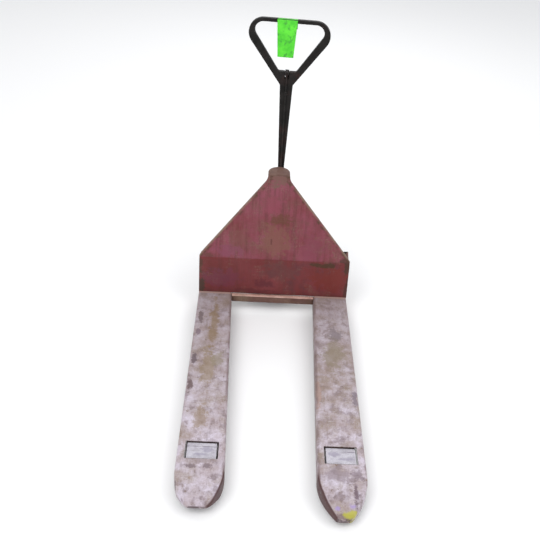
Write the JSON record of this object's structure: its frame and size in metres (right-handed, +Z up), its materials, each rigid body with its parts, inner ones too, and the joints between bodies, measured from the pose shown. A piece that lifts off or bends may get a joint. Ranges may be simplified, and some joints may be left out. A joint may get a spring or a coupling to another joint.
{
  "type": "pallet jack",
  "caption": "Hand pallet jack: two tapered forks, a leaning triangular frame, a steered hydraulic unit on two wheels and a tall forged loop handle.",
  "frame": {"origin": "on the floor under the middle of the whole jack, forks lowered", "axes": "+X across the forks to the right, -Y towards the fork tips, +Y towards the handle, +Z up"},
  "size_m": [0.686, 1.5594, 1.272],
  "materials": {
    "fork_paint": "worn grey-lavender paint with rust stains",
    "frame_red": "faded dull red paint, scratched",
    "band_red": "darker red-brown paint with rust at the corners",
    "worn_rust": "brown rusted steel with traces of paint",
    "bare_steel": "dull oily steel",
    "polished_steel": "ground and polished rod",
    "roller_steel": "worn light steel",
    "pump_grey": "grimy cast housing",
    "dark_iron": "near-black brown forging, handled smooth",
    "tyre_rubber": "hard dark tyre, scuffed",
    "seal_rubber": "black seal",
    "tag_card": "neon green card"
  },
  "bodies": {
    "frame": {"fork_left": "fork_paint", "fork_right": "fork_paint", "front_plate": "band_red", "a_frame_plate": "frame_red", "a_frame_flanges": "frame_red", "apex_head": "worn_rust", "head_gussets": "frame_red", "box_channel": "band_red", "side_plate_left": "band_red", "side_plate_right": "band_red", "lower_tie_bar": "worn_rust", "rocker_bushes": "bare_steel", "yoke_pivot_pins": "bare_steel"},
    "ram": {"ram": "polished_steel", "piston_seal": "seal_rubber"},
    "pump_unit": {"pump_base": "pump_grey", "cylinder_tube": "pump_grey", "gland_nut": "bare_steel", "oil_tank": "pump_grey", "tank_cover": "pump_grey", "filler_plug": "bare_steel", "handle_bracket": "pump_grey", "plunger_barrel": "pump_grey", "collar_nut": "bare_steel", "steer_axle": "bare_steel", "axle_clips": "bare_steel", "handle_pivot_pin": "bare_steel", "valve_arm_pin": "bare_steel", "release_valve": "bare_steel", "plunger_spring": "bare_steel"},
    "wheel_left": {"tyre_left": "tyre_rubber", "wheel_hub_left": "worn_rust", "wheel_bearings_left": "bare_steel"},
    "wheel_right": {"tyre_right": "tyre_rubber", "wheel_hub_right": "worn_rust", "wheel_bearings_right": "bare_steel"},
    "plunger": {"plunger": "polished_steel"},
    "handle": {"handle": "dark_iron", "handle_pins": "bare_steel", "rod_guides": "dark_iron", "price_tag": "tag_card"},
    "pump_roller": {"handle_roller": "bare_steel"},
    "release_lever": {"release_lever": "dark_iron"},
    "release_rod": {"release_rod": "dark_iron", "release_chain": "bare_steel"},
    "valve_arm": {"valve_arm": "bare_steel"},
    "collar": {"lifting_collar": "pump_grey"},
    "rocker": {"rocker_tube": "worn_rust", "rocker_rear_arms": "worn_rust", "rocker_push_arms": "worn_rust", "rocker_rod_pins": "bare_steel"},
    "push_rods": {"push_rod_left": "worn_rust", "push_rod_right": "worn_rust"},
    "yoke_left": {"load_yoke_left": "roller_steel", "yoke_pins_left": "bare_steel"},
    "yoke_right": {"load_yoke_right": "roller_steel", "yoke_pins_right": "bare_steel"},
    "roller_left": {"load_roller_left": "roller_steel"},
    "roller_right": {"load_roller_right": "roller_steel"}
  },
  "joints": [
    {"name": "steering", "type": "hinge", "parent": "frame", "child": "ram", "pos_m": [0, 0.62531, 0.586], "axis": [0, 0, 1], "range_deg": [-85, 95]},
    {"name": "lift", "type": "slide", "parent": "ram", "child": "pump_unit", "axis": [0, 0, -1], "range_m": [0, 0.115]},
    {"name": "wheel_left_spin", "type": "hinge", "parent": "pump_unit", "child": "wheel_left", "pos_m": [-0.07173, 0.63158, 0.08], "axis": [0.9962, -0.0872, 0], "continuous": true},
    {"name": "wheel_right_spin", "type": "hinge", "parent": "pump_unit", "child": "wheel_right", "pos_m": [0.07173, 0.61903, 0.08], "axis": [0.9962, -0.0872, 0], "continuous": true},
    {"name": "handle_tilt", "type": "hinge", "parent": "pump_unit", "child": "handle", "pos_m": [0.00959, 0.73489, 0.29], "axis": [-0.9962, 0.0872, 0], "range_deg": [0, 78], "stiffness_Nm_per_rad": 30, "springref_deg": -20.05},
    {"name": "plunger_stroke", "type": "slide", "parent": "pump_unit", "child": "plunger", "axis": [0, 0, -1], "range_m": [0, 0.0328], "deforming": ["plunger_spring"]},
    {"name": "pump_roller_spin", "type": "hinge", "parent": "handle", "child": "pump_roller", "pos_m": [0.01135, 0.75502, 0.30636], "axis": [0.9962, -0.0872, 0], "continuous": true},
    {"name": "release_lever_swing", "type": "hinge", "parent": "handle", "child": "release_lever", "pos_m": [0.00959, 0.73489, 1.043], "axis": [-0.9962, 0.0872, 0], "range_deg": [0, 14], "stiffness_Nm_per_rad": 1.5, "springref_deg": -17.19},
    {"name": "release_rod_slide", "type": "slide", "parent": "handle", "child": "release_rod", "axis": [0, 0, 1], "range_m": [0, 0.004]},
    {"name": "valve_arm_swing", "type": "hinge", "parent": "pump_unit", "child": "valve_arm", "pos_m": [0.0068, 0.70301, 0.284], "axis": [0.9962, -0.0872, 0], "range_deg": [0, 12.6]},
    {"name": "collar_slide", "type": "slide", "parent": "frame", "child": "collar", "axis": [0, 0, -1], "range_m": [0, 0.115]},
    {"name": "rocker_swing", "type": "hinge", "parent": "frame", "child": "rocker", "pos_m": [0, 0.47431, 0.118], "axis": [-1, 0, 0], "range_deg": [0, 41.39]},
    {"name": "push_rod_swing", "type": "hinge", "parent": "rocker", "child": "push_rods", "pos_m": [0, 0.4941, 0.06561], "axis": [1, 0, 0], "range_deg": [0, 41.39]},
    {"name": "yoke_left_swing", "type": "hinge", "parent": "frame", "child": "yoke_left", "pos_m": [-0.254, -0.67966, 0.063], "axis": [-1, 0, 0], "range_deg": [0, 55.3]},
    {"name": "yoke_right_swing", "type": "hinge", "parent": "frame", "child": "yoke_right", "pos_m": [0.254, -0.67966, 0.063], "axis": [-1, 0, 0], "range_deg": [0, 55.3]},
    {"name": "roller_left_spin", "type": "hinge", "parent": "yoke_left", "child": "roller_left", "pos_m": [-0.254, -0.52669, 0.038], "axis": [1, 0, 0], "continuous": true},
    {"name": "roller_right_spin", "type": "hinge", "parent": "yoke_right", "child": "roller_right", "pos_m": [0.254, -0.52669, 0.038], "axis": [1, 0, 0], "continuous": true}
  ],
  "couplings": [
    {"joint": "plunger_stroke", "follows": "handle_tilt", "m_per_rad": 0.024038},
    {"joint": "release_rod_slide", "follows": "release_lever_swing", "m_per_rad": 0.0161},
    {"joint": "valve_arm_swing", "follows": "release_lever_swing", "ratio": 0.89444},
    {"joint": "collar_slide", "follows": "lift", "ratio": 1},
    {"joint": "rocker_swing", "follows": "lift", "rad_per_m": 6.2814},
    {"joint": "push_rod_swing", "follows": "lift", "rad_per_m": 6.2814},
    {"joint": "yoke_left_swing", "follows": "lift", "rad_per_m": 8.3933},
    {"joint": "yoke_right_swing", "follows": "lift", "rad_per_m": 8.3933}
  ]
}
